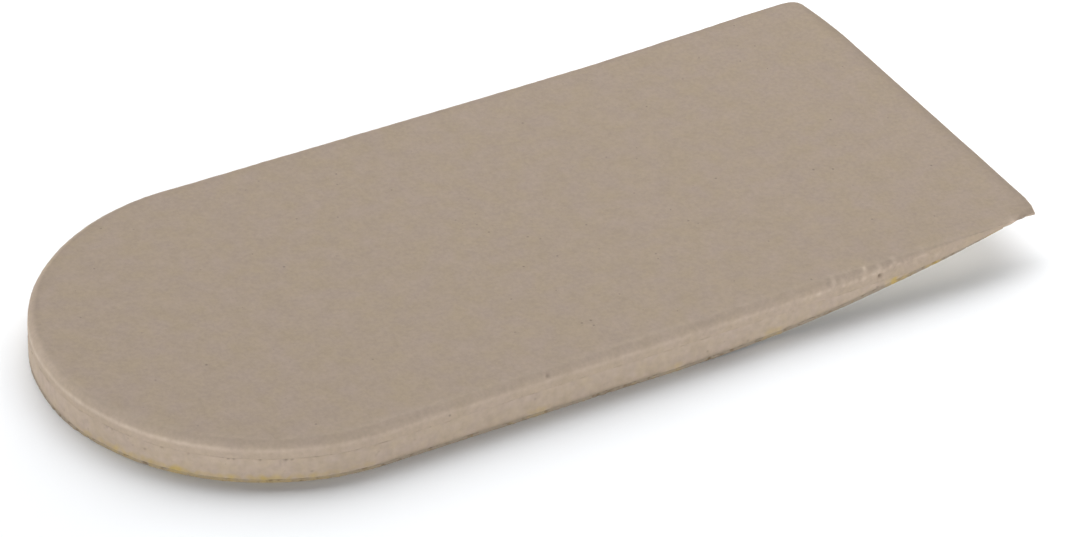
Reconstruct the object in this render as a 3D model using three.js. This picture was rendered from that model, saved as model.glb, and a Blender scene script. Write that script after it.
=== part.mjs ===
// Foam heel lift for wearing inside a shoe.
// Two flat foam layers are bonded together over a self-adhesive backing film.
// The heel end is round, the front end is square, and the underside is skived
// up towards the front so that the lift ends in a thin flexible edge.
// Millimetres, +Z up, +Y towards the front edge, origin under the middle of the part.

import * as THREE from 'three';
import { mergeVertices } from 'three/addons/utils/BufferGeometryUtils.js';

// Plan of the lift, with stations measured along the length from the heel edge.
const LENGTH = 130;
const HEEL_WIDTH = 64.9;
const FRONT_WIDTH = 63.3;
const HEEL_DEPTH = 31.4;
const FRONT_CORNER = 1.4;

// Stack of layers, as heights above the floor at the heel.
const THICKNESS = 5.86;
const BOND_PLANE = 3.55;
const BACKING_THICKNESS = 0.45;
const BOND_GAP = 0.05;

// Wall: the foot of the lift stands out a little from its upper edge, which is rounded over.
const WALL_FLARE = 0.3;
const RIM_RADIUS = 1.2;
const RIM_END_SHARE = 0.15;
const RIM_TAPER_START = 97;
const RIM_TAPER_END = 121;

// Skive under the front, and the slight upward spring of the front edge.
const SKIVE_START = 74;
const SKIVE_RISE = 7.24;
const FRONT_EDGE_THICKNESS = 0.4;
const SPRING_START = 71.5;
const SPRING_RISE = 0.56;
const CORE_EDGE_THICKNESS = 0.12;

// Fineness of the facets.
const HEEL_STEPS = 22;
const CORNER_STEPS = 4;
const STATION_STEP = 3.2;
const RIM_STEPS = 5;

const FINISHES = {
  top_cover: { color: 0xaa9b88, roughness: 0.9 },
  foam_core: { color: 0xb3a28d, roughness: 0.92 },
  adhesive_backing: { color: 0xa58f62, roughness: 0.7 },
};

const squared = (value) => value * value;
const shareBetween = (value, start, end) => THREE.MathUtils.clamp((value - start) / (end - start), 0, 1);

// Heights along the length.
const topHeight = (station) => THICKNESS + SPRING_RISE * squared(shareBetween(station, SPRING_START, LENGTH));
const skiveHeight = (station) => SKIVE_RISE * squared(shareBetween(station, SKIVE_START, LENGTH));
const coverUnderside = (station) => Math.min(
  Math.max(BOND_PLANE, skiveHeight(station) + BACKING_THICKNESS + BOND_GAP),
  topHeight(station) - FRONT_EDGE_THICKNESS,
);
const rimRadius = (station) => THREE.MathUtils.lerp(
  RIM_RADIUS,
  RIM_RADIUS * RIM_END_SHARE,
  shareBetween(station, RIM_TAPER_START, RIM_TAPER_END),
);

// Station where the skive has climbed to a given height.
const skiveStation = (height) => SKIVE_START + (LENGTH - SKIVE_START) * Math.sqrt(height / SKIVE_RISE);

// Station where the backing has left only the thin front edge of the cover above it.
function backingEndStation() {
  const room = (station) => topHeight(station) - FRONT_EDGE_THICKNESS - BOND_GAP - BACKING_THICKNESS;
  let station = LENGTH;
  for (let pass = 0; pass < 20; pass += 1) {
    station = skiveStation(room(station));
  }
  return station;
}

const CORE_UNDERSIDE = BACKING_THICKNESS + BOND_GAP;
const CORE_TOP = BOND_PLANE - BOND_GAP;
const CORE_END = skiveStation(CORE_TOP - CORE_UNDERSIDE - CORE_EDGE_THICKNESS);
const COVER_MEETS_BACKING = skiveStation(BOND_PLANE - CORE_UNDERSIDE);
const BACKING_END = backingEndStation();
const KEY_STATIONS = [HEEL_DEPTH, SPRING_START, SKIVE_START, CORE_END, COVER_MEETS_BACKING, BACKING_END];

const halfWidth = (station) => THREE.MathUtils.lerp(
  HEEL_WIDTH / 2,
  FRONT_WIDTH / 2,
  shareBetween(station, HEEL_DEPTH, LENGTH),
);

// One side of the plan from the middle of the heel to a cut across the front, as points with outward normals.
function sideOutline(end, corner) {
  const path = new THREE.Path();
  path.absellipse(0, HEEL_DEPTH, HEEL_WIDTH / 2, HEEL_DEPTH, -Math.PI / 2, 0, false);
  const straightEnd = end - corner;
  const stops = KEY_STATIONS.filter((station) => station > HEEL_DEPTH && station < straightEnd);
  for (const station of [...stops, straightEnd]) {
    path.lineTo(halfWidth(station), station);
  }
  if (corner > 0) {
    path.absarc(halfWidth(straightEnd) - corner, straightEnd, corner, 0, Math.PI / 2, false);
  }
  const stepsOf = (curve, index) => {
    if (index === 0) return HEEL_STEPS;
    return curve.isLineCurve ? Math.ceil(curve.getLength() / STATION_STEP) : CORNER_STEPS;
  };
  const outline = [];
  path.curves.forEach((curve, index) => {
    const steps = stepsOf(curve, index);
    for (let step = index === 0 ? 0 : 1; step <= steps; step += 1) {
      const point = curve.getPoint(step / steps);
      const tangent = curve.getTangent(step / steps);
      outline.push({ point, normal: new THREE.Vector2(tangent.y, -tangent.x) });
    }
  });
  return outline;
}

// Outward lean of the wall at a height: full at the foot, none where the rounded rim begins.
function wallFlare(height, station) {
  const fade = 1 - shareBetween(station, SKIVE_START, RIM_TAPER_END);
  return WALL_FLARE * fade * (1 - shareBetween(height, 0, THICKNESS - RIM_RADIUS));
}

// Closed ring round the plan: the heel point, then pairs of points across the lift.
// heightAt and growAt give the height and the outward shift at a station.
function ring(outline, heightAt, growAt) {
  const side = outline.map(({ point, normal }) => {
    const height = heightAt(point.y);
    const grow = growAt(point.y, height);
    return new THREE.Vector3(point.x + normal.x * grow, point.y + normal.y * grow, height);
  });
  const mirrored = side.map((point) => new THREE.Vector3(-point.x, point.y, point.z));
  return { right: side, left: mirrored };
}

// Closed solid through a stack of rings, lowest first.
function solidThrough(rings) {
  const positions = [];
  const triangle = (a, b, c) => {
    const area = new THREE.Triangle(a, b, c).getArea();
    if (area > 1e-7) positions.push(...a.toArray(), ...b.toArray(), ...c.toArray());
  };
  const quad = (a, b, c, d) => {
    triangle(a, b, c);
    triangle(a, c, d);
  };
  const lowest = rings[0];
  const highest = rings[rings.length - 1];
  const last = lowest.right.length - 1;
  for (let step = 0; step < last; step += 1) {
    quad(lowest.left[step], lowest.left[step + 1], lowest.right[step + 1], lowest.right[step]);
    quad(highest.right[step], highest.right[step + 1], highest.left[step + 1], highest.left[step]);
  }
  for (let level = 0; level + 1 < rings.length; level += 1) {
    const low = rings[level];
    const high = rings[level + 1];
    for (let step = 0; step < last; step += 1) {
      quad(low.right[step], low.right[step + 1], high.right[step + 1], high.right[step]);
      quad(low.left[step + 1], low.left[step], high.left[step], high.left[step + 1]);
    }
    quad(low.right[last], low.left[last], high.left[last], high.right[last]);
  }
  const geometry = new THREE.BufferGeometry();
  geometry.setAttribute('position', new THREE.Float32BufferAttribute(positions, 3));
  return mergeVertices(geometry, 1e-4);
}

// Upper foam layer with its rounded rim and thin front edge.
function topCover() {
  const outline = sideOutline(LENGTH, FRONT_CORNER);
  const rings = [ring(outline, coverUnderside, (station, height) => wallFlare(height, station))];
  for (let step = 0; step <= RIM_STEPS; step += 1) {
    const turn = (Math.PI / 2) * (step / RIM_STEPS);
    const heightAt = (station) => topHeight(station) - rimRadius(station) * (1 - Math.sin(turn));
    const insetAt = (station) => -rimRadius(station) * (1 - Math.cos(turn));
    rings.push(ring(outline, heightAt, insetAt));
  }
  return solidThrough(rings);
}

// Lower foam layer, which the skive runs out under the cover.
function foamCore() {
  const outline = sideOutline(CORE_END, 0);
  const flareAt = (station, height) => wallFlare(height, station);
  const underside = (station) => skiveHeight(station) + CORE_UNDERSIDE;
  return solidThrough([ring(outline, underside, flareAt), ring(outline, () => CORE_TOP, flareAt)]);
}

// Adhesive film over the whole underside, up the skive to the thin front edge.
function adhesiveBacking() {
  const outline = sideOutline(BACKING_END, 0);
  const flareAt = (station, height) => wallFlare(height, station);
  const upperSide = (station) => skiveHeight(station) + BACKING_THICKNESS;
  return solidThrough([ring(outline, skiveHeight, flareAt), ring(outline, upperSide, flareAt)]);
}

function piece(name, geometry) {
  const material = new THREE.MeshStandardMaterial({ ...FINISHES[name], metalness: 0 });
  const mesh = new THREE.Mesh(geometry, material);
  mesh.name = name;
  return mesh;
}

const heelLift = new THREE.Group();
heelLift.add(piece('adhesive_backing', adhesiveBacking()));
heelLift.add(piece('foam_core', foamCore()));
heelLift.add(piece('top_cover', topCover()));

// The origin lies under the middle of the length.
const extent = new THREE.Box3().setFromObject(heelLift);
heelLift.position.y = -(extent.min.y + extent.max.y) / 2;

export default heelLift;
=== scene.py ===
"""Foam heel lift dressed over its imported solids, on a pale studio floor.

The lift is three bonded layers: a foam cover with a rounded rim, a cut foam core and an adhesive film.
Everything is in metres in the part's own frame: +Y runs to the thin front edge, +Z is up. A station is a
distance along Y from the heel edge. A run is a distance along the border from the middle of the heel, and
it is positive on the +X side, which faces the camera.
"""

import logging
import math
import random
from dataclasses import dataclass, field
from enum import Enum
from functools import partial
from typing import Callable, Union

import bmesh
import bpy
from mathutils import Matrix, Vector, noise


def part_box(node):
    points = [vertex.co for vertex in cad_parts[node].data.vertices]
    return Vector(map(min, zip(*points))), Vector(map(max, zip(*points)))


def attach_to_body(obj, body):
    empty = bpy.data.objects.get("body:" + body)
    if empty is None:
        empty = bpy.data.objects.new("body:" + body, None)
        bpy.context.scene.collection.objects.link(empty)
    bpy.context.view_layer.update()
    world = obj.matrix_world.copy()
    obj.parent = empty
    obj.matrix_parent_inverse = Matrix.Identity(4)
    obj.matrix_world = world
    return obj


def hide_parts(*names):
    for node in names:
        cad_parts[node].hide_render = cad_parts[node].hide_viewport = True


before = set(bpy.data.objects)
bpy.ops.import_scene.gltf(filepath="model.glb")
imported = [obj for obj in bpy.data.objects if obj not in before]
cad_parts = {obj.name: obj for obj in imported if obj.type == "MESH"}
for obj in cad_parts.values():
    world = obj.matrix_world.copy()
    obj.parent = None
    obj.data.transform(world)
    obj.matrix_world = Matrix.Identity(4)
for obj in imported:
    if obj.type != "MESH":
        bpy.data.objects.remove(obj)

LOG = logging.getLogger("heel_lift")
MM = 0.001
BODY = "root"
UP = Vector((0.0, 0.0, 1.0))
PHOTO_WIDTH = 1080
PHOTO_FOCAL_PIXELS = 8000.0
SENSOR_WIDTH = 36.0

# Most values of a noise texture lie between these two.
NOISE_LOW, NOISE_HIGH = 0.3, 0.7

# A tint from 1 up to this one fades in the clean face of a layer.
CLEAN_TONE = 2.0

# Points closer than these count as one when a plan is cut, or as lying on a line.
CUT_REACH, LINE_REACH = 1e-7, 1e-6

Colour = tuple[float, float, float]
SocketValue = Union[bpy.types.NodeSocket, float, tuple[float, ...]]


class Layer(Enum):
    """The layers of the lift, by the name of the solid that each one stands for."""

    COVER = "top_cover"
    CORE = "foam_core"
    FILM = "adhesive_backing"


def share_between(value: float, start: float, end: float) -> float:
    """Share of the way from start to end that a value has come, from 0 to 1."""
    return min(1.0, max(0.0, (value - start) / (end - start)))


def ripple(place: float, size: float, seed: float) -> float:
    """Smooth random value from about -1 to 1 along a line."""
    return noise.noise(Vector((place / size, 0.0, seed)))


@dataclass(frozen=True)
class Fade:
    """A straight rise from 0 at the start to 1 at the end."""

    start: float
    end: float

    def at(self, value: float) -> float:
        """Height of the rise at a value."""
        return share_between(value, self.start, self.end)


FAR_SIDE, FAR_CALM = Fade(30 * MM, 50 * MM), 0.8


def unevenness(run: float) -> float:
    """Share of the border's slow wavering at a run, which is much less along the far side."""
    return 1 - FAR_CALM * FAR_SIDE.at(-run)


def add_object(name: str, data: bpy.types.ID) -> bpy.types.Object:
    """Add an object to the scene.

    Args:
        name: Name of the object.
        data: Its mesh, light or camera.

    Returns:
        The object.
    """
    made = bpy.data.objects.new(name, data)
    bpy.context.scene.collection.objects.link(made)
    return made


@dataclass(frozen=True)
class LiftShape:
    """Plan and profile of the lift, with the layers' ends and levels taken from the frame."""

    heel_edge: float
    front_edge: float
    bond_plane: float
    core_end: float
    film_end: float
    film_thickness: float = 0.45 * MM
    film_feather: float = 0.06 * MM
    feather_length: float = 13 * MM
    feather_run: float = 1.7 * MM
    core_run: float = 1.05 * MM
    bond_gap: float = 0.012 * MM
    thickness: float = 5.86 * MM
    heel_width: float = 64.9 * MM
    front_width: float = 63.3 * MM
    heel_depth: float = 31.4 * MM
    solid_flare: float = 0.3 * MM
    wall_flare: float = 0.12 * MM
    rim_radius: float = 1.2 * MM
    rim_end_share: float = 0.15
    rim_taper_start: float = 97 * MM
    rim_taper_end: float = 121 * MM
    rim_wobble: float = 0.12
    rim_wobble_size: float = 6 * MM
    skive_start: float = 74 * MM
    skive_rise: float = 7.24 * MM
    spring_start: float = 71.5 * MM
    spring_rise: float = 0.56 * MM
    front_edge_thickness: float = 0.4 * MM

    @classmethod
    def from_frame(cls) -> "LiftShape":
        """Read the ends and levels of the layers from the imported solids.

        Returns:
            The shape that the dressed layers follow.
        """
        cover_low, cover_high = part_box(Layer.COVER.value)
        film_low, film_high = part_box(Layer.FILM.value)
        return cls(
            heel_edge=film_low.y + cls.solid_flare,
            front_edge=cover_high.y,
            bond_plane=cover_low.z,
            core_end=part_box(Layer.CORE.value)[1].y + cls.core_run,
            film_end=film_high.y + cls.feather_run,
        )

    @property
    def length(self) -> float:
        """Length of the lift from the heel edge to the front edge."""
        return self.front_edge - self.heel_edge

    @property
    def rim_foot(self) -> float:
        """Height at which the wall turns into the rounded rim."""
        return self.thickness - self.rim_radius

    def station(self, y: float) -> float:
        """Distance of a point's Y from the heel edge."""
        return y - self.heel_edge

    def half_width(self, y: float) -> float:
        """Half the plan's width at a Y ahead of the heel."""
        share = share_between(self.station(y), self.heel_depth, self.length)
        return (self.heel_width + (self.front_width - self.heel_width) * share) / 2

    def top(self, y: float) -> float:
        """Height of the top face, which springs up a little towards the front edge."""
        spring = share_between(self.station(y), self.spring_start, self.length)
        return self.thickness + self.spring_rise * spring ** 2

    def skive(self, y: float) -> float:
        """Height of the underside, which the skive raises towards the front."""
        return self.skive_rise * share_between(self.station(y), self.skive_start, self.length) ** 2

    def film(self, y: float) -> float:
        """Thickness of the film, which is feathered towards its front end."""
        feather = share_between(y, self.film_end - self.feather_length, self.film_end)
        return self.film_thickness + (self.film_feather - self.film_thickness) * feather

    def core_underside(self, y: float) -> float:
        """Height of the core's lower face, just above the film."""
        return self.skive(y) + self.film(y) + self.bond_gap

    def core_top(self) -> float:
        """Height of the core's upper face, just under the bond."""
        return self.bond_plane - self.bond_gap

    def cover_underside(self, y: float) -> float:
        """Height of the cover's lower face: the bond plane, then the skive, then the thin front edge."""
        return min(max(self.bond_plane, self.core_underside(y)), self.top(y) - self.front_edge_thickness)

    def edge_thickness(self, y: float) -> float:
        """Thickness of the whole stack at its edge."""
        return max(self.top(y) - self.skive(y), self.front_edge_thickness)

    def rim(self, y: float, run: float) -> float:
        """Radius of the rounded rim, which wavers and fades out where the skive thins the wall.

        Args:
            y: Y of a border point.
            run: Run of the border point.

        Returns:
            The radius.
        """
        fade = share_between(self.station(y), self.rim_taper_start, self.rim_taper_end)
        waver = 1 + self.rim_wobble * unevenness(run) * ripple(run, self.rim_wobble_size, seed=2.3)
        return self.rim_radius * waver * (1 - (1 - self.rim_end_share) * fade)

    def flare(self, y: float, _run: float, height: float) -> float:
        """Outward lean of the wall at a height, full at the foot and none at the rim."""
        fade = 1 - share_between(self.station(y), self.skive_start, self.rim_taper_end)
        return self.wall_flare * fade * (1 - share_between(height, 0.0, self.rim_foot))


@dataclass(frozen=True)
class Mark:
    """A dent in a cut edge, or a nib where the depth is negative.

    tint darkens the mark below 0, which paints shade into a dent, and pales it above, and stretch is its
    height over its width.
    """

    run: float
    height: float
    radius: float
    depth: float
    tint: float
    stretch: float = 1.0


# The bite by the worn front corner goes through the cover and the film.
CORNER_BITE = Mark(run=146.0 * MM, height=6.2 * MM, radius=2.2 * MM, depth=1.0 * MM, tint=0.0, stretch=2.0)


@dataclass(frozen=True)
class Scatter:
    """Marks strewn along a cut edge, with a lowest and a highest value for each size."""

    seed: int
    count: int
    runs: tuple[float, float]
    heights: tuple[float, float]
    radii: tuple[float, float]
    depths: tuple[float, float]
    tints: tuple[float, float]

    def marks(self) -> list[Mark]:
        """Draw the marks.

        Returns:
            The marks, in the order they were drawn.
        """
        draw = random.Random(self.seed)
        spans = (self.runs, self.heights, self.radii, self.depths, self.tints)
        return [Mark(*(draw.uniform(*span) for span in spans)) for _ in range(self.count)]


@dataclass(frozen=True)
class EdgePoint:
    """A place on a layer's edge, with the tint of the marks that it lies in."""

    y: float
    run: float
    height: float
    tint: float


@dataclass
class CutEdge:
    """Uneven surface of a cut edge: a wander that all layers share, a fine tooth and separate marks."""

    seed: float
    tooth: float
    tooth_size: float
    marks: list[Mark] = field(default_factory=list)
    wander: float = 0.1 * MM
    wander_size: float = 8 * MM
    bucket: float = 3 * MM

    def __post_init__(self) -> None:
        """Sort the marks into short stretches of the border."""
        self._near: dict[int, list[Mark]] = {}
        for mark in self.marks:
            centre = math.floor(mark.run / self.bucket)
            for index in (centre - 1, centre, centre + 1):
                self._near.setdefault(index, []).append(mark)

    def sample(self, run: float, height: float) -> tuple[float, float]:
        """Relief of the edge at one place.

        Args:
            run: Run of the place.
            height: Height above the floor.

        Returns:
            The outward offset, and the tint of the marks there.
        """
        place = Vector((run, height, 0.0))
        offset = self.wander * unevenness(run) * noise.noise(place / self.wander_size)
        offset += self.tooth * noise.noise(place / self.tooth_size + UP * self.seed)
        tint = 0.0
        for mark in self._near.get(math.floor(run / self.bucket), ()):
            across = (run - mark.run) / mark.radius
            upward = (height - mark.height) / (mark.radius * mark.stretch)
            reach = across * across + upward * upward
            if reach < 1.0:
                depth = (1.0 - reach) ** 2
                offset -= mark.depth * depth
                # A dent's negative tint paints shade into it, deepest where the dent is deepest.
                tint += mark.tint * depth
        return offset, max(-1.0, min(1.0, tint))


@dataclass(frozen=True)
class Ring:
    """One level of a layer's edge.

    height takes a Y and a run, shift takes a Y, a run and a height and gives the outward shift, and
    tilt is the surface's turn from upright towards facing up.
    """

    height: Callable[[float, float], float]
    shift: Callable[[float, float, float], float]
    tilt: float = 0.0


def wall_rings(shape: LiftShape, rows: int, height: Callable[[float, float, float], float]) -> list[Ring]:
    """Even levels up a leaning wall, by its height at a share of the way up, a Y and a run."""
    return [Ring(partial(height, row / rows), shape.flare) for row in range(rows + 1)]


class Blank:
    """Flat plan of a layer, die-cut to the heel's round and a straight cut across the front."""

    def __init__(self, shape: LiftShape, end: float, spacing: float) -> None:
        """Keep the plan's sizes.

        Args:
            shape: Shape of the lift.
            end: Y of the cut across the front.
            spacing: Distance between points along the border.
        """
        self.shape = shape
        self.end = end
        self.spacing = spacing

    def cut(self, mesh: bmesh.types.BMesh) -> None:
        """Make the plan as one face.

        Args:
            mesh: Empty mesh that takes the plan.
        """
        shape = self.shape
        middle = shape.heel_edge + shape.heel_depth
        quarter = round(math.pi / 2 * shape.heel_depth / self.spacing)
        bmesh.ops.create_circle(mesh, cap_ends=True, radius=1.0, segments=4 * quarter)
        stretch = Matrix.Diagonal((shape.heel_width / 2, shape.heel_depth, 1.0, 1.0))
        placed = Matrix.Translation((0.0, middle, 0.0)) @ stretch
        bmesh.ops.transform(mesh, matrix=placed, verts=mesh.verts)
        self.trim(mesh, Vector((0.0, middle, 0.0)), Vector((0.0, 1.0, 0.0)))
        across = [edge for edge in mesh.edges
                  if all(abs(vert.co.y - middle) < LINE_REACH for vert in edge.verts)]
        made = bmesh.ops.extrude_edge_only(mesh, edges=across)["geom"]
        for vert in (item for item in made if isinstance(item, bmesh.types.BMVert)):
            vert.co = Vector((math.copysign(shape.half_width(self.end), vert.co.x), self.end, 0.0))
        bmesh.ops.dissolve_edges(mesh, edges=across)
        self.finish_corners(mesh)
        for edge in [edge for edge in mesh.edges if edge.calc_length() > 2 * self.spacing]:
            cuts = round(edge.calc_length() / self.spacing) - 1
            bmesh.ops.subdivide_edges(mesh, edges=[edge], cuts=cuts)

    def trim(self, mesh: bmesh.types.BMesh, point: Vector, outward: Vector) -> None:
        """Cut the plan along a line and drop what lies outward of it."""
        bmesh.ops.bisect_plane(mesh, geom=[*mesh.verts, *mesh.edges, *mesh.faces], dist=CUT_REACH,
                               plane_co=point, plane_no=outward, clear_outer=True)

    def finish_corners(self, mesh: bmesh.types.BMesh) -> None:
        """Leave the front corners square."""


class CoverBlank(Blank):
    """Plan of the cover, whose front corners are worn back.

    Each corner's wear runs from the side to the front, as millimetres in from the side and back from the
    front.
    """

    near_wear = ((0.0, 5.0), (0.4, 0.8), (2.0, 0.28), (4.2, 0.0))
    far_wear = ((0.0, 3.0), (0.15, 2.2), (0.45, 1.55), (0.9, 1.1), (1.6, 0.82), (3.3, 0.6), (6.0, 0.33),
                (9.0, 0.13), (12.0, 0.0))

    def finish_corners(self, mesh: bmesh.types.BMesh) -> None:
        """Trim both front corners to their worn outlines.

        Args:
            mesh: Mesh that holds the plan.
        """
        half = self.shape.half_width(self.end)
        for side, wear in ((1.0, self.near_wear), (-1.0, self.far_wear)):
            points = [Vector((side * (half - inward * MM), self.end - back * MM, 0.0))
                      for inward, back in wear]
            for start, end in zip(points, points[1:]):
                along = end - start
                self.trim(mesh, start, side * Vector((along.y, -along.x, 0.0)))


class Sheet:
    """A foam or film layer raised from its blank, ring by ring, and sliced so that its faces can bend."""

    thin_edge = Fade(0.1 * MM, 0.9 * MM)
    front_middle = Fade(1 * MM, 8 * MM)
    crease = math.radians(50)

    def __init__(self, name: str, blank: Blank, edge: CutEdge, tone: Callable[[EdgePoint], float]) -> None:
        """Start the mesh with the flat plan.

        Args:
            name: Name of the piece.
            blank: Plan of the layer.
            edge: Relief of the layer's edge.
            tone: Tint of a place on the edge, from -1 for dark to 1 for pale or stained.
        """
        self.name = name
        self.shape = blank.shape
        self.edge = edge
        self.tone = tone
        self.mesh = bmesh.new()
        for layer in ("foot", "outward"):
            self.mesh.verts.layers.float_vector.new(layer)
        for layer in ("run", "tone"):
            self.mesh.verts.layers.float.new(layer)
        blank.cut(self.mesh)
        vectors, numbers = self.mesh.verts.layers.float_vector, self.mesh.verts.layers.float
        self.foot, self.outward = vectors["foot"], vectors["outward"]
        self.run, self.tint = numbers["run"], numbers["tone"]
        self._measure()

    def _measure(self) -> None:
        """Store each border point's place, outward direction and run along the border."""
        plan = next(iter(self.mesh.faces))
        plan.normal_update()
        if plan.normal.z < 0:
            plan.normal_flip()
        border = [loop.vert for loop in plan.loops]
        heel = min(range(len(border)), key=lambda index: (border[index].co.y, abs(border[index].co.x)))
        border = border[heel:] + border[:heel]
        for index, vert in enumerate(border):
            along = border[(index + 1) % len(border)].co - border[index - 1].co
            vert[self.outward] = Vector((along.y, -along.x, 0.0)).normalized()
            vert[self.foot] = vert.co.copy()
        for order, sign in ((border, 1.0), ([border[0], *reversed(border[1:])], -1.0)):
            travelled = 0.0
            for before, vert in zip(order, order[1:]):
                travelled += (vert.co - before.co).length
                if vert.co.x * sign > 0:
                    vert[self.run] = travelled * sign

    def _relief_share(self, foot: Vector) -> float:
        """Share of the edge's relief at a border point, less where the edge is thin or is the front cut.

        Args:
            foot: The border point's place in the plan.

        Returns:
            The share, from 0 to 1.
        """
        share = self.thin_edge.at(self.shape.edge_thickness(foot.y))
        if foot.y > 0:
            share *= self.front_middle.at(abs(foot.x))
        return share

    def _place(self, verts: list[bmesh.types.BMVert], ring: Ring) -> None:
        """Move a ring's points to their height, outward shift and relief, and tint them.

        Args:
            verts: The ring's points.
            ring: The level that they belong to.
        """
        for vert in verts:
            foot, run = vert[self.foot], vert[self.run]
            height = ring.height(foot.y, run)
            offset, tint = self.edge.sample(run, height)
            offset *= self._relief_share(foot)
            shift = ring.shift(foot.y, run, height) + offset * math.cos(ring.tilt)
            vert.co = foot + vert[self.outward] * shift
            vert.co.z = height + offset * math.sin(ring.tilt)
            vert[self.tint] = self.tone(EdgePoint(foot.y, run, height, tint))

    def raise_rings(self, rings: list[Ring]) -> tuple[bmesh.types.BMFace, bmesh.types.BMFace]:
        """Raise the edge of the layer from its plan.

        Args:
            rings: Levels of the edge, lowest first.

        Returns:
            The lower face and the upper face.
        """
        upper = next(iter(self.mesh.faces))
        corners = len(upper.verts)
        self._place(list(upper.verts), rings[0])
        for ring in rings[1:]:
            made = bmesh.ops.extrude_face_region(self.mesh, geom=[upper, *upper.edges])["geom"]
            upper = next(item for item in made if isinstance(item, bmesh.types.BMFace))
            self._place([item for item in made if isinstance(item, bmesh.types.BMVert)], ring)
        lower = next(face for face in self.mesh.faces if len(face.verts) == corners and face != upper)
        return lower, upper

    def slice_face(self, face: bmesh.types.BMFace, step_x: float, step_y: float,
                   height: Callable[[float, float], float], inner_tone: float = 0.0) -> None:
        """Cut a broad face into cells and lay their inner corners on a surface.

        Args:
            face: The face.
            step_x: Width of the cells, or 0 for strips right across.
            step_y: Length of the cells.
            height: Height of the surface at an X and a Y.
            inner_tone: Tint of the inner corners.
        """
        shape = self.shape
        lengthwise, crosswise = Vector((0.0, 1.0, 0.0)), Vector((1.0, 0.0, 0.0))
        rows = range(1, math.ceil(shape.length / step_y))
        cuts = [(Vector((0.0, shape.heel_edge + step_y * row, 0.0)), lengthwise) for row in rows]
        if step_x > 0:
            half = math.ceil(shape.heel_width / step_x / 2)
            cuts += [(crosswise * (step_x * column), crosswise) for column in range(-half, half + 1)]
        geometry = [face, *face.edges, *face.verts]
        for point, normal in cuts:
            geometry = bmesh.ops.bisect_plane(self.mesh, geom=geometry, dist=CUT_REACH, plane_co=point,
                                              plane_no=normal)["geom"]
        cells = {item for item in geometry if isinstance(item, bmesh.types.BMFace)}
        for vert in {vert for cell in cells for vert in cell.verts}:
            if all(neighbour in cells for neighbour in vert.link_faces):
                vert.co.z = height(vert.co.x, vert.co.y)
                vert[self.tint] = inner_tone

    def finish(self) -> bpy.types.Object:
        """Turn the mesh into a smooth object.

        Returns:
            The new object.
        """
        bmesh.ops.recalc_face_normals(self.mesh, faces=self.mesh.faces)
        data = bpy.data.meshes.new(self.name)
        self.mesh.to_mesh(data)
        self.mesh.free()
        for layer in ("foot", "outward", "run"):
            data.attributes.remove(data.attributes[layer])
        data.polygons.foreach_set("use_smooth", [True] * len(data.polygons))
        data.set_sharp_from_angle(angle=self.crease)
        return add_object(self.name, data)


class NodeBuilder:
    """Short ways to add and join nodes in a material or a group."""

    def __init__(self, tree: bpy.types.NodeTree) -> None:
        """Keep the tree that nodes go into."""
        self.tree = tree

    def add(self, kind: str, inputs: dict[Union[str, int], SocketValue] | None = None,
            **settings: object) -> bpy.types.Node:
        """Add a node.

        Args:
            kind: The node's type.
            inputs: Values or output sockets by input name or number.
            settings: Properties of the node.

        Returns:
            The node.
        """
        node = self.tree.nodes.new(kind)
        for key, value in settings.items():
            setattr(node, key, value)
        for key, value in (inputs or {}).items():
            if isinstance(value, bpy.types.NodeSocket):
                self.tree.links.new(value, node.inputs[key])
            else:
                node.inputs[key].default_value = value
        return node

    def math(self, operation: str, first: SocketValue, second: SocketValue = 0.0) -> bpy.types.NodeSocket:
        """Add a Math node and return its output."""
        return self.add("ShaderNodeMath", {0: first, 1: second}, operation=operation).outputs[0]

    def remap(self, value: SocketValue, low: float, high: float, to_low: float = 0.0,
              to_high: float = 1.0) -> bpy.types.NodeSocket:
        """Add a clamped Map Range node and return its output."""
        inputs = {0: value, 1: low, 2: high, 3: to_low, 4: to_high}
        return self.add("ShaderNodeMapRange", inputs).outputs[0]

    def mix(self, factor: SocketValue, first: SocketValue, second: SocketValue,
            blend: str = "MIX") -> bpy.types.NodeSocket:
        """Add a colour Mix node and return its output."""
        inputs = {0: factor, 6: first, 7: second}
        return self.add("ShaderNodeMix", data_type="RGBA", blend_type=blend, inputs=inputs).outputs[2]

    def noise(self, place: SocketValue, scale: SocketValue,
              roughness: float = 0.5) -> bpy.types.bpy_prop_collection:
        """Add a soft noise texture and return its outputs."""
        inputs = {"Vector": place, "Scale": scale, "Detail": 2.0, "Roughness": roughness}
        return self.add("ShaderNodeTexNoise", inputs).outputs

    def bump(self, height: SocketValue, strength: float, distance: float) -> bpy.types.NodeSocket:
        """Add a Bump node and return its output."""
        inputs = {"Strength": strength, "Distance": distance, "Height": height}
        return self.add("ShaderNodeBump", inputs).outputs["Normal"]

    def place(self) -> bpy.types.NodeSocket:
        """Add object coordinates and return their output."""
        return self.add("ShaderNodeTexCoord").outputs["Object"]

    def surface(self, colour: bpy.types.NodeSocket, roughness: bpy.types.NodeSocket,
                normal: bpy.types.NodeSocket, specular: float) -> None:
        """Join a finish to the material's own shader.

        Args:
            colour: Output with the colour.
            roughness: Output with the roughness.
            normal: Output with the bumped normal.
            specular: Strength of the shine.
        """
        shader = self.tree.nodes["Principled BSDF"].inputs
        for name, socket in (("Base Color", colour), ("Roughness", roughness), ("Normal", normal)):
            self.tree.links.new(socket, shader[name])
        shader["Specular IOR Level"].default_value = specular


def new_material(name: str) -> bpy.types.Material:
    """Start a material with a shader of its own.

    Args:
        name: Name of the material.

    Returns:
        The material.
    """
    made = bpy.data.materials.new(name)
    made.use_nodes = True
    return made


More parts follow.
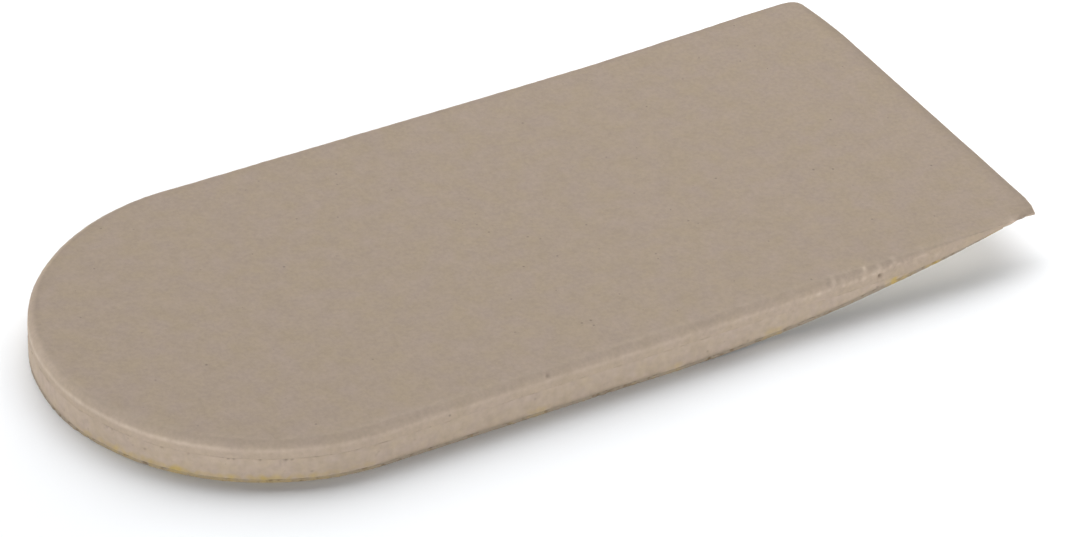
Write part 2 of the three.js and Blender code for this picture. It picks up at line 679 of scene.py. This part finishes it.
def shader_group(name: str, inputs: list[tuple[str, str]], outputs: list[str]) -> bpy.types.NodeTree:
    """Start a shader node group with named sockets.

    Args:
        name: Name of the group.
        inputs: Name and socket type of each input.
        outputs: Name of each output, which all carry plain values.

    Returns:
        The group, with its input and output nodes in place.
    """
    group = bpy.data.node_groups.new(name, "ShaderNodeTree")
    for socket, kind in inputs:
        group.interface.new_socket(name=socket, in_out="INPUT", socket_type=kind)
    for socket in outputs:
        group.interface.new_socket(name=socket, in_out="OUTPUT", socket_type="NodeSocketFloat")
    group.nodes.new("NodeGroupInput").name = "in"
    group.nodes.new("NodeGroupOutput").name = "out"
    return group


def foam_cells_group() -> bpy.types.NodeTree:
    """Foam seen close up: a fine grain, soft mottling in tone and cast, and scattered open cells.

    Returns:
        The group, with Tone, Cast, Cells and Height outputs.
    """
    grain_share, mottle_share, smallest_cell, flat_floor, cell_depth = 0.65, 0.35, 0.5, 0.7, 1.5
    scales = ("Grain Scale", "Mottle Scale", "Cell Scale", "Cell Share", "Cell Size")
    inputs = [("Place", "NodeSocketVector"), *((name, "NodeSocketFloat") for name in scales)]
    group = shader_group("foam_cells", inputs, ["Tone", "Cast", "Cells", "Height"])
    build = NodeBuilder(group)
    source, target = group.nodes["in"].outputs, group.nodes["out"].inputs
    grain = build.noise(source["Place"], source["Grain Scale"], roughness=0.6)["Fac"]
    mottle = build.noise(source["Place"], source["Mottle Scale"])
    cast = build.add("ShaderNodeSeparateColor", {0: mottle["Color"]}).outputs[1]
    spread = {"Vector": source["Place"], "Scale": source["Cell Scale"], "Randomness": 1.0}
    cells = build.add("ShaderNodeTexVoronoi", spread, feature="F1").outputs
    chance = build.add("ShaderNodeSeparateColor", {0: cells["Color"]}).outputs
    is_open = build.math("LESS_THAN", chance[0], source["Cell Share"])
    size = build.math("MULTIPLY", source["Cell Size"], build.remap(chance[1], 0.0, 1.0, smallest_cell, 1.0))
    bowl = build.math("SUBTRACT", 1.0, build.math("DIVIDE", cells["Distance"], size))
    pit = build.math("MULTIPLY", build.remap(bowl, 0.0, flat_floor), is_open)
    fine = build.math("MULTIPLY", grain, grain_share)
    broad = build.math("MULTIPLY", mottle["Fac"], mottle_share)
    height = build.math("SUBTRACT", grain, build.math("MULTIPLY", pit, cell_depth))
    made = {"Tone": build.math("ADD", fine, broad), "Cast": cast, "Cells": pit, "Height": height}
    for name, socket in made.items():
        group.links.new(socket, target[name])
    return group


def edge_tone_group() -> bpy.types.NodeTree:
    """Tint stored on a layer, split into its pale part, which holds stains, wear and painted highlights, its
    dark part, much of it painted shade, and its clean inner face.

    Returns:
        The group, with Stain, Dark and Clean outputs.
    """
    group = shader_group("edge_tone", [], ["Stain And Highlight", "Dark", "Clean"])
    build = NodeBuilder(group)
    target = group.nodes["out"].inputs
    tone = build.add("ShaderNodeAttribute", attribute_name="tone").outputs["Fac"]
    for name, low, high in (("Stain And Highlight", 0.0, 1.0), ("Dark", 0.0, -1.0), ("Clean", 1.0, CLEAN_TONE)):
        group.links.new(build.remap(tone, low, high), target[name])
    return group


@dataclass(frozen=True)
class FoamFinish:
    """Matt foam: its colours, grain and open cells darkened with painted shade, and the colours of its
    stained, worn and painted-highlight places and of its dark places, most of which are painted shade.
    """

    name: str
    colour: Colour
    stain: Colour
    # cell_depth sets how far the open cells are darkened, as painted shade in their hollows.
    cell_depth: float
    contrast: float
    grain_scale: float
    mottle_scale: float
    cell_scale: float
    cell_share: float
    cell_size: float
    bump_distance: float
    roughness: tuple[float, float]
    dark: Colour = (0.10, 0.075, 0.055)
    bump: float = 0.2
    cast: float = 0.045
    specular: float = 0.2

    def material(self, cells: bpy.types.NodeTree, edge_tone: bpy.types.NodeTree) -> bpy.types.Material:
        """Make the foam's material.

        Args:
            cells: The shared foam group.
            edge_tone: The shared edge tint group.

        Returns:
            The material.
        """
        made = new_material(self.name)
        build = NodeBuilder(made.node_tree)
        scales = {"Place": build.place(), "Grain Scale": self.grain_scale, "Mottle Scale": self.mottle_scale,
                  "Cell Scale": self.cell_scale, "Cell Share": self.cell_share, "Cell Size": self.cell_size}
        foam = build.add("ShaderNodeGroup", scales, node_tree=cells).outputs
        tint = build.add("ShaderNodeGroup", node_tree=edge_tone).outputs
        shade = build.remap(foam["Tone"], NOISE_LOW, NOISE_HIGH, 1 - self.contrast, 1 + self.contrast)
        # The open cells are darkened as painted shade in their hollows.
        pits = build.remap(foam["Cells"], 0.0, 1.0, 1.0, 1 - self.cell_depth)
        shade = build.math("MULTIPLY", shade, pits)
        red, green, blue = self.colour
        cool, warm = ((red, green, blue * (1 + side * self.cast), 1.0) for side in (1, -1))
        plain = build.mix(build.remap(foam["Cast"], NOISE_LOW, NOISE_HIGH), cool, warm)
        # On the cover this pale mix carries the painted highlight and sheen up the rim as well as wear.
        stained = build.mix(tint["Stain And Highlight"], plain, (*self.stain, 1.0))
        colour = build.mix(1.0, stained, shade, "MULTIPLY")
        # The dark mix carries painted shade in dents, in the seam and along the core's foot.
        colour = build.mix(tint["Dark"], colour, (*self.dark, 1.0))
        roughness = build.remap(foam["Tone"], NOISE_LOW, NOISE_HIGH, *self.roughness)
        normal = build.bump(foam["Height"], self.bump, self.bump_distance)
        build.surface(colour, roughness, normal, self.specular)
        return made


@dataclass(frozen=True)
class FilmFinish:
    """Adhesive film, pale on its clean underside and brown at its edge, with yellow glue, dark dusty specks
    and bites darkened with painted shade.
    """

    name: str
    colour: Colour
    clean: Colour
    glue: Colour
    dust_and_shade: Colour
    speck_scale: float
    roughness: tuple[float, float]
    specks: tuple[float, float] = (0.55, 0.7)
    speck_share: float = 0.6
    bump: float = 0.3
    bump_distance: float = 0.1 * MM
    specular: float = 0.3

    def material(self, edge_tone: bpy.types.NodeTree) -> bpy.types.Material:
        """Make the film's material.

        Args:
            edge_tone: The shared edge tint group.

        Returns:
            The material.
        """
        made = new_material(self.name)
        build = NodeBuilder(made.node_tree)
        tint = build.add("ShaderNodeGroup", node_tree=edge_tone).outputs
        speck = build.noise(build.place(), self.speck_scale)["Fac"]
        dust_and_shade = (*self.dust_and_shade, 1.0)
        colour = build.mix(tint["Stain And Highlight"], (*self.colour, 1.0), (*self.glue, 1.0))
        colour = build.mix(build.remap(speck, *self.specks, 0.0, self.speck_share), colour, dust_and_shade)
        colour = build.mix(tint["Dark"], colour, dust_and_shade)
        colour = build.mix(tint["Clean"], colour, (*self.clean, 1.0))
        roughness = build.remap(speck, NOISE_LOW, NOISE_HIGH, *self.roughness)
        normal = build.bump(speck, self.bump, self.bump_distance)
        build.surface(colour, roughness, normal, self.specular)
        return made


# The cover's stain colour is the pale colour of its worn cut wall and of the painted highlight and sheen up
# its rim.
COVER_FOAM = FoamFinish(
    "cover_foam", colour=(0.281, 0.224, 0.172), stain=(0.375, 0.307, 0.245), cell_depth=0.34, contrast=0.09,
    grain_scale=1600.0, mottle_scale=330.0, cell_scale=833.0, cell_share=0.07, cell_size=0.21,
    bump_distance=0.1 * MM, roughness=(0.85, 0.95))
CORE_FOAM = FoamFinish(
    "core_foam", colour=(0.317, 0.256, 0.200), stain=(0.36, 0.265, 0.08), cell_depth=0.25, contrast=0.085,
    grain_scale=1000.0, mottle_scale=500.0, cell_scale=1100.0, cell_share=0.06, cell_size=0.22,
    bump_distance=0.12 * MM, roughness=(0.87, 0.97))
# The film's brown edge is partly its own colour and partly painted shade along the foot of the lift.
BACKING_FILM = FilmFinish(
    "backing_film", colour=(0.215, 0.176, 0.132), clean=(0.62, 0.58, 0.51), glue=(0.32, 0.23, 0.07),
    dust_and_shade=(0.11, 0.07, 0.03), speck_scale=1100.0, roughness=(0.5, 0.75))


@dataclass(frozen=True)
class BondSeam:
    """Broken dark line where the two foam layers meet, most round the heel: painted shade in the fine crease
    between them.
    """

    reach: float = 0.14 * MM
    faint: float = 0.03
    heel: float = 0.09
    heel_ends: Fade = Fade(35 * MM, 60 * MM)
    break_size: float = 3 * MM
    breaks: Fade = Fade(-0.25, 0.35)

    def share(self, shape: LiftShape, point: EdgePoint) -> float:
        """Darkness of the line at a place.

        Args:
            shape: Shape of the lift.
            point: The place on the edge.

        Returns:
            The darkness, from 0 to 1.
        """
        near = max(0.0, 1 - abs(point.height - shape.bond_plane) / self.reach)
        heel = 1 - self.heel_ends.at(abs(point.run))
        broken = self.breaks.at(ripple(point.run, self.break_size, seed=5.5))
        return near * broken * (self.faint + self.heel * heel)


@dataclass(frozen=True)
class GluePatch:
    """A stretch of the foot where yellow glue shows: the run of its middle, half its length, its strength."""

    run: float
    reach: float
    strength: float

    def at(self, run: float) -> float:
        """Strength of the patch at a run."""
        return self.strength * max(0.0, 1 - ((run - self.run) / self.reach) ** 2)


@dataclass(frozen=True)
class GlueLine:
    """Yellow glue that shows along the foot: ragged patches, a stretch round the heel and faint traces."""

    patches: tuple[GluePatch, ...]
    heel: float = 0.5
    heel_begins: Fade = Fade(4 * MM, 12 * MM)
    heel_ends: Fade = Fade(40 * MM, 50 * MM)
    trace: float = 0.45
    trace_size: float = 5 * MM
    traces: Fade = Fade(0.15, 0.5)
    rag_size: float = 0.8 * MM

    def share(self, run: float) -> float:
        """Share of glue that shows at a run.

        Args:
            run: Run of a border point.

        Returns:
            The share, from 0 to 1.
        """
        ragged = 0.9 + 0.9 * ripple(run, self.rag_size, seed=9.1)
        traces = self.trace * self.traces.at(ripple(run, self.trace_size, seed=3.9))
        heel = self.heel * self.heel_begins.at(run) * (1 - self.heel_ends.at(run))
        return share_between(ragged * max(traces, heel, *(patch.at(run) for patch in self.patches)), 0.0, 1.0)


SEAM = BondSeam()
GLUE = GlueLine((
    GluePatch(13.0 * MM, 1.8 * MM, 0.7),
    GluePatch(22.4 * MM, 3.8 * MM, 1.0),
    GluePatch(29.5 * MM, 2.2 * MM, 0.7),
    GluePatch(34.8 * MM, 4.2 * MM, 0.9),
    GluePatch(125.9 * MM, 1.4 * MM, 0.9),
    GluePatch(132.0 * MM, 1.4 * MM, 0.8),
    GluePatch(141.4 * MM, 1.8 * MM, 0.9),
))


@dataclass
class TopCover:
    """Upper foam layer: a low wall, a rounded rim, the flat top and the thin front edge.

    The fades are runs along the border, or turns up the rim from 0 at its foot to 1 at the top.
    """

    shape: LiftShape
    spacing: float = 0.25 * MM
    wall_rows: int = 6
    rim_rows: int = 9
    cell: float = 2.0 * MM
    dimple: float = 0.03 * MM
    dimple_size: float = 7.0 * MM
    dimple_seed: float = 3.1
    dimple_edge: Fade = Fade(1.0 * MM, 6.0 * MM)
    # The highlight line and the shoulder sheen are painted highlights up the rim.
    highlight_lift: float = 0.1 * MM
    highlight_reach: float = 0.48 * MM
    line_highlight: float = 0.3
    line_ends: Fade = Fade(108 * MM, 122 * MM)
    heel_highlight: float = 0.65
    heel_begins: Fade = Fade(-32 * MM, -14 * MM)
    heel_ends: Fade = Fade(14 * MM, 40 * MM)
    cut_wear: float = 0.25
    cut_loss: float = 0.75
    cut_ends: Fade = Fade(114 * MM, 130 * MM)
    shoulder_sheen: float = 0.45
    shoulder_turn: Fade = Fade(0.1, 0.6)
    skin_loss: float = 0.55
    skin_turn: Fade = Fade(0.9, 1.0)
    # The far side and the front are made darker up the rim, in place of the pale wear and highlight.
    front_darkening: float = 0.3
    front_begins: Fade = Fade(147 * MM, 150 * MM)
    far_darkening: float = 0.08
    far_ends: Fade = Fade(-15 * MM, -5 * MM)
    darkening_turn: Fade = Fade(0.0, 0.5)
    ridge_reach: float = 0.35 * MM
    ridge_begins: Fade = Fade(106 * MM, 116 * MM)
    ridge_ends: Fade = Fade(124 * MM, 134 * MM)

    def edge(self) -> CutEdge:
        """Set out the relief of the cover's edge: a hole, a pit, the corner's bite, crumbs and open cells.

        Returns:
            The relief.
        """
        hole = Mark(run=74 * MM, height=5.45 * MM, radius=0.35 * MM, depth=0.2 * MM, tint=-0.6)
        pit = Mark(run=123.8 * MM, height=4.5 * MM, radius=0.45 * MM, depth=0.4 * MM, tint=-0.9)
        crumbs = Scatter(seed=61, count=34, runs=(113 * MM, 134 * MM), heights=(4.7 * MM, 6.0 * MM),
                         radii=(0.2 * MM, 0.8 * MM), depths=(-0.12 * MM, -0.03 * MM), tints=(0.1, 0.4))
        cells = Scatter(seed=11, count=50, runs=(-140 * MM, 140 * MM), heights=(3.8 * MM, 5.2 * MM),
                        radii=(0.15 * MM, 0.35 * MM), depths=(0.02 * MM, 0.06 * MM), tints=(-0.3, -0.05))
        return CutEdge(seed=1.7, tooth=0.03 * MM, tooth_size=0.9 * MM,
                       marks=[hole, pit, CORNER_BITE, *crumbs.marks(), *cells.marks()])

    def painted_rim_highlight(self, point: EdgePoint) -> float:
        """Broken painted highlight line where the wall turns into the rim, strongest round the left of the
        heel.

        Args:
            point: The place on the edge.

        Returns:
            The tint.
        """
        run = point.run
        above = point.height - self.shape.rim_foot - self.highlight_lift
        heel = self.heel_begins.at(run) * (1 - self.heel_ends.at(run))
        patchy = 0.85 + 0.5 * ripple(run, 2.5 * MM, seed=6.7) + 0.4 * ripple(run, 0.8 * MM, seed=1.9)
        line = max(0.0, 1 - abs(above) / self.highlight_reach) * (self.line_highlight + self.heel_highlight * heel) * patchy
        return line * (1 - self.line_ends.at(abs(run)))

    def rim_wear_and_highlight(self, point: EdgePoint, turned: float) -> float:
        """Pale wear of the cut wall, the painted highlight line and the painted sheen up the rim, and a
        darker upper rim in their place on the far side and the front.

        Args:
            point: The place on the edge.
            turned: Turn up the rim, below 0 on the wall.

        Returns:
            The tint.
        """
        skin = 1 - self.skin_loss * self.skin_turn.at(turned)
        cut = self.cut_wear * skin * (1 - self.cut_loss * self.cut_ends.at(abs(point.run)))
        sheen = self.shoulder_sheen * self.shoulder_turn.at(turned) * skin
        front, far = self.front_begins.at(abs(point.run)), 1 - self.far_ends.at(point.run)
        upper = self.darkening_turn.at(turned)
        # This wear holds the cut wall's pale wear with the painted highlight line and the painted sheen.
        wear = max(cut + self.painted_rim_highlight(point), sheen) * (1 - max(front, far) * upper)
        return wear - max(self.front_darkening * front, self.far_darkening * far) * upper

    def crumbled_ridge(self, run: float, over_ridge: float) -> float:
        """Pale crumbs along the ridge of the skived wall.

        Args:
            run: Run of the place.
            over_ridge: Height of the place over the foot of the rim.

        Returns:
            The tint.
        """
        crumbled = self.ridge_begins.at(run) * (1 - self.ridge_ends.at(run))
        crumbled *= max(0.0, 0.15 + 0.9 * ripple(run, 0.9 * MM, seed=4.4))
        return max(0.0, 1 - abs(over_ridge) / self.ridge_reach) * crumbled

    def tone(self, point: EdgePoint) -> float:
        """Tint of the cover's edge: its wear, painted highlight and sheen, its darker far and front rim, its
        marks and the painted shade of the seam.

        Args:
            point: The place on the edge.

        Returns:
            The tint, from -1 for dark to 1 for pale.
        """
        rim = self.shape.rim(point.y, point.run)
        over_ridge = point.height - self.shape.top(point.y) + rim
        # The wear here includes the painted highlight and sheen up the rim.
        wear = self.rim_wear_and_highlight(point, over_ridge / rim)
        ridge = self.crumbled_ridge(point.run, over_ridge)
        return wear + ridge + point.tint - SEAM.share(self.shape, point)

    def wall_height(self, share: float, y: float, run: float) -> float:
        """Height of the wall at a share of the way from the bond to the rim."""
        low = self.shape.cover_underside(y)
        return low + (self.shape.top(y) - self.shape.rim(y, run) - low) * share

    def rim_height(self, turn: float, y: float, run: float) -> float:
        """Height of the rim at an angle round it."""
        return self.shape.top(y) - self.shape.rim(y, run) * (1 - math.sin(turn))

    def rim_inset(self, turn: float, y: float, run: float, _height: float) -> float:
        """Outward shift of the rim at an angle round it, below 0 because it turns in."""
        return -self.shape.rim(y, run) * (1 - math.cos(turn))

    def rings(self) -> list[Ring]:
        """Set out the levels of the cover's edge from the bond up over the rim.

        Returns:
            The levels, lowest first.
        """
        made = wall_rings(self.shape, self.wall_rows, self.wall_height)[:-1]
        for row in range(self.rim_rows + 1):
            turn = math.pi / 2 * row / self.rim_rows
            made.append(Ring(partial(self.rim_height, turn), partial(self.rim_inset, turn), turn))
        return made

    def top_surface(self, x: float, y: float) -> float:
        """Height of the top face with its faint dimples.

        Args:
            x: X of a place on the top.
            y: Y of the place.

        Returns:
            The height.
        """
        away = noise.noise(Vector((x, y, 0.0)) / self.dimple_size + UP * self.dimple_seed)
        inside = self.dimple_edge.at(self.shape.half_width(y) - abs(x))
        return self.shape.top(y) + self.dimple * away * inside

    def build(self) -> bpy.types.Object:
        """Model the cover.

        Returns:
            The cover's object.
        """
        shape = self.shape
        blank = CoverBlank(shape, shape.front_edge, self.spacing)
        sheet = Sheet("cover_foam", blank, self.edge(), self.tone)
        lower, upper = sheet.raise_rings(self.rings())
        sheet.slice_face(upper, self.cell, self.cell, self.top_surface)
        sheet.slice_face(lower, 0.0, self.cell, lambda _x, y: shape.cover_underside(y))
        return sheet.finish()

    def dress(self, piece: bpy.types.Object, cells: bpy.types.NodeTree,
              edge_tone: bpy.types.NodeTree) -> None:
        """Give the cover its foam skin."""
        piece.data.materials.append(COVER_FOAM.material(cells, edge_tone))


@dataclass
class FoamCore:
    """Lower foam layer, whose cut wall shows its open cells and is stained by the glue at its foot.

    Each void along the bond has a run and a radius in millimetres, and a tint that darkens it with painted
    shade.
    """

    shape: LiftShape
    spacing: float = 0.18 * MM
    wall_rows: int = 18
    cell: float = 3.0 * MM
    stain_height: float = 0.8 * MM
    # The core's foot is darkened as painted shade where it meets the film near the floor.
    foot_shade: float = 0.3
    foot_shade_height: float = 0.4 * MM
    void_drop: float = 0.08 * MM
    void_depth: float = 0.2 * MM
    void_stretch: float = 0.6
    voids: tuple[tuple[float, float, float], ...] = (
        (12.6, 0.4, -0.5), (20.5, 0.4, -0.5), (29.6, 0.35, -0.9), (30.3, 0.3, -0.8), (33.7, 0.3, -0.8),
        (37.0, 0.35, -0.9), (37.8, 0.3, -0.8))

    def edge(self) -> CutEdge:
        """Set out the relief of the core's cut wall: voids along the bond, a nick and open cells.

        Returns:
            The relief.
        """
        bond = self.shape.bond_plane
        voids = [Mark(run * MM, bond - self.void_drop, radius * MM, self.void_depth, tint, self.void_stretch)
                 for run, radius, tint in self.voids]
        nick = Mark(run=36.2 * MM, height=2.9 * MM, radius=0.16 * MM, depth=0.12 * MM, tint=-0.2, stretch=6.0)
        cells = Scatter(seed=23, count=80, runs=(-130 * MM, 130 * MM), heights=(0.9 * MM, bond),
                        radii=(0.12 * MM, 0.35 * MM), depths=(0.03 * MM, 0.09 * MM), tints=(-0.4, -0.05))
        return CutEdge(seed=4.2, tooth=0.05 * MM, tooth_size=0.8 * MM, marks=[*voids, nick, *cells.marks()])

    def tone(self, point: EdgePoint) -> float:
        """Tint of the core's wall: glue stain and painted shade along the foot, pits darkened with painted
        shade and the painted shade of the seam.

        Args:
            point: The place on the edge.

        Returns:
            The tint, from -1 for dark to 1 for stained.
        """
        rise = point.height - self.shape.core_underside(point.y)
        reach = self.stain_height * (1 + 0.9 * ripple(point.run, 1.1 * MM, seed=7.7))
        stain = GLUE.share(point.run) * share_between(rise, reach, 0.25 * reach)
        foot_shade = self.foot_shade * max(0.0, 1 - rise / self.foot_shade_height)
        return stain - foot_shade + point.tint - SEAM.share(self.shape, point)

    def wall_height(self, share: float, y: float, _run: float) -> float:
        """Height of the wall at a share of the way from the film to the bond."""
        low = self.shape.core_underside(y)
        return low + (self.shape.core_top() - low) * share

    def build(self) -> bpy.types.Object:
        """Model the core.

        Returns:
            The core's object.
        """
        shape = self.shape
        sheet = Sheet("core_foam", Blank(shape, shape.core_end, self.spacing), self.edge(), self.tone)
        lower, upper = sheet.raise_rings(wall_rings(shape, self.wall_rows, self.wall_height))
        sheet.slice_face(upper, 0.0, self.cell, lambda _x, _y: shape.core_top())
        sheet.slice_face(lower, 0.0, self.cell, lambda _x, y: shape.core_underside(y))
        return sheet.finish()

    def dress(self, piece: bpy.types.Object, cells: bpy.types.NodeTree,
              edge_tone: bpy.types.NodeTree) -> None:
        """Give the core its cut-foam finish."""
        piece.data.materials.append(CORE_FOAM.material(cells, edge_tone))


@dataclass
class AdhesiveFilm:
    """Adhesive film under the lift, torn a little unevenly along its edge."""

    shape: LiftShape
    spacing: float = 0.2 * MM
    wall_rows: int = 4
    cell: float = 3.0 * MM
    glue: float = 0.55
    skived: Fade = Fade(116 * MM, 126 * MM)

    def edge(self) -> CutEdge:
        """Set out the relief of the film's edge: the corner's bite, torn bites darkened with a dusty colour
        and painted shade, and beads.

        Returns:
            The relief.
        """
        span, heights = (-140 * MM, 140 * MM), (0.0, 6.0 * MM)
        bites = Scatter(seed=37, count=900, runs=span, heights=heights, radii=(0.15 * MM, 0.6 * MM),
                        depths=(0.03 * MM, 0.13 * MM), tints=(-1.05, -0.35))
        beads = Scatter(seed=41, count=700, runs=span, heights=heights, radii=(0.2 * MM, 0.6 * MM),
                        depths=(-0.08 * MM, -0.02 * MM), tints=(0.0, 0.3))
        return CutEdge(seed=8.4, tooth=0.05 * MM, tooth_size=0.8 * MM,
                       marks=[CORNER_BITE, *bites.marks(), *beads.marks()])

    def tone(self, point: EdgePoint) -> float:
        """Tint of the film's edge: yellow glue, most on the skive, and bites darkened with painted shade up
        to the skive.

        Args:
            point: The place on the edge.

        Returns:
            The tint, from -1 for dusty and shaded to 1 for yellow.
        """
        skived = self.skived.at(abs(point.run))
        glue = self.glue + (1 - self.glue) * skived
        return glue * GLUE.share(point.run) + point.tint * (1 - skived)

    def edge_height(self, share: float, y: float, _run: float) -> float:
        """Height of the edge at a share of the way up the film."""
        return self.shape.skive(y) + self.shape.film(y) * share

    def build(self) -> bpy.types.Object:
        """Model the film.

        Returns:
            The film's object.
        """
        shape = self.shape
        sheet = Sheet("backing_film", Blank(shape, shape.film_end, self.spacing), self.edge(), self.tone)
        lower, upper = sheet.raise_rings(wall_rings(shape, self.wall_rows, self.edge_height))
        sheet.slice_face(upper, 0.0, self.cell, lambda _x, y: shape.skive(y) + shape.film(y))
        sheet.slice_face(lower, self.cell, self.cell, lambda _x, y: shape.skive(y), CLEAN_TONE)
        return sheet.finish()

    def dress(self, piece: bpy.types.Object, edge_tone: bpy.types.NodeTree) -> None:
        """Give the film its adhesive finish."""
        piece.data.materials.append(BACKING_FILM.material(edge_tone))


def direction(azimuth: float, elevation: float) -> Vector:
    """Unit vector from the lift towards a place, with 0 degrees behind the heel and 90 on the +X side."""
    around, above = math.radians(azimuth), math.radians(elevation)
    return Vector((math.sin(around) * math.cos(above), -math.cos(around) * math.cos(above), math.sin(above)))


@dataclass(frozen=True)
class Softbox:
    """A softbox that faces the lift."""

    name: str
    azimuth: float
    elevation: float
    distance: float
    width: float
    height: float
    power: float

    def hang(self) -> bpy.types.Object:
        """Hang the softbox.

        Returns:
            The light's object.
        """
        back = direction(self.azimuth, self.elevation)
        data = bpy.data.lights.new(self.name, "AREA")
        data.shape = "RECTANGLE"
        data.size, data.size_y = self.width, self.height
        data.energy = self.power
        light = add_object(self.name, data)
        light.location = back * self.distance
        light.rotation_mode = "QUATERNION"
        light.rotation_quaternion = back.to_track_quat("Z", "Y")
        light.visible_camera = False
        return light


# The low card in front sends light under the raised front edge.
SOFTBOXES = (
    Softbox("back_softbox", azimuth=247.0, elevation=40.6, distance=2.0, width=3.5, height=2.3, power=108.5),
    Softbox("heel_strip", azimuth=2.0, elevation=4.5, distance=1.5, width=1.2, height=0.2, power=19.9),
    Softbox("side_strip", azimuth=101.0, elevation=4.5, distance=1.5, width=1.2, height=0.2, power=19.2),
    Softbox("front_card", azimuth=178.2, elevation=4.4, distance=0.3, width=0.2, height=0.02, power=1.4),
)


@dataclass
class Studio:
    """Pale floor, soft light and the camera."""

    shape: LiftShape
    floor_size: float = 8.0
    floor_colour: Colour = (0.838, 0.85, 0.865)
    floor_roughness: float = 0.95
    sky: float = 0.06
    azimuth: float = 62.0
    elevation: float = 33.125
    roll: float = -1.0
    distance: float = 1058.676 * MM
    shift_right: float = 5.749 * MM
    shift_up: float = -1.927 * MM

    def floor(self) -> bpy.types.Object:
        """Lay the floor.

        Returns:
            The floor's object.
        """
        mesh = bmesh.new()
        bmesh.ops.create_grid(mesh, x_segments=2, y_segments=2, size=self.floor_size / 2)
        data = bpy.data.meshes.new("studio_floor")
        mesh.to_mesh(data)
        mesh.free()
        made = new_material("studio_floor")
        shader = made.node_tree.nodes["Principled BSDF"].inputs
        shader["Base Color"].default_value = (*self.floor_colour, 1.0)
        shader["Roughness"].default_value = self.floor_roughness
        shader["Specular IOR Level"].default_value = 0.0
        data.materials.append(made)
        plane = add_object("studio_floor", data)
        return plane

    def light(self) -> None:
        """Light the scene with a faint even sky and the softboxes."""
        world = bpy.data.worlds.new("studio_sky")
        world.use_nodes = True
        background = world.node_tree.nodes["Background"]
        background.inputs["Color"].default_value = (1.0, 1.0, 1.0, 1.0)
        background.inputs["Strength"].default_value = self.sky
        bpy.context.scene.world = world
        for softbox in SOFTBOXES:
            softbox.hang()

    def camera(self) -> bpy.types.Object:
        """Set the camera at the photograph's angle.

        Returns:
            The camera's object.
        """
        back = direction(self.azimuth, self.elevation)
        level = direction(self.azimuth + 90, 0.0)
        rise = back.cross(level)
        turn = math.radians(self.roll)
        right = level * math.cos(turn) + rise * math.sin(turn)
        up = rise * math.cos(turn) - level * math.sin(turn)
        centre = Vector((0.0, self.shape.heel_edge + self.shape.length / 2, self.shape.thickness / 2))
        data = bpy.data.cameras.new("photo_camera")
        data.sensor_fit = "HORIZONTAL"
        data.sensor_width = SENSOR_WIDTH
        data.lens = SENSOR_WIDTH * PHOTO_FOCAL_PIXELS / PHOTO_WIDTH
        camera = add_object("photo_camera", data)
        placed = Matrix((right, up, back)).transposed().to_4x4()
        placed.translation = centre + back * self.distance + right * self.shift_right + up * self.shift_up
        camera.matrix_world = placed
        bpy.context.scene.camera = camera
        return camera

    def build(self) -> None:
        """Set up the floor, the light, the camera and plain colour output."""
        self.floor()
        self.light()
        self.camera()
        bpy.context.scene.view_settings.view_transform = "Standard"


def attach(piece: bpy.types.Object, layer: Layer) -> None:
    """Fix a finished layer to the part in place of its solid.

    Args:
        piece: The layer's object.
        layer: The layer that it stands for.
    """
    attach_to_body(piece, BODY)
    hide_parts(layer.value)
    LOG.info("%s: %d points, %d faces", piece.name, len(piece.data.vertices), len(piece.data.polygons))


def main() -> None:
    """Build the layers in order, dress them and set up the studio."""
    logging.basicConfig(level=logging.INFO, format="%(name)s %(message)s")
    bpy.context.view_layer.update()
    shape = LiftShape.from_frame()
    Studio(shape).build()
    cells, edge_tone = foam_cells_group(), edge_tone_group()
    film = AdhesiveFilm(shape)
    film_piece = film.build()
    film.dress(film_piece, edge_tone)
    attach(film_piece, Layer.FILM)
    core = FoamCore(shape)
    core_piece = core.build()
    core.dress(core_piece, cells, edge_tone)
    attach(core_piece, Layer.CORE)
    cover = TopCover(shape)
    cover_piece = cover.build()
    cover.dress(cover_piece, cells, edge_tone)
    attach(cover_piece, Layer.COVER)


if __name__ == "__main__":
    main()
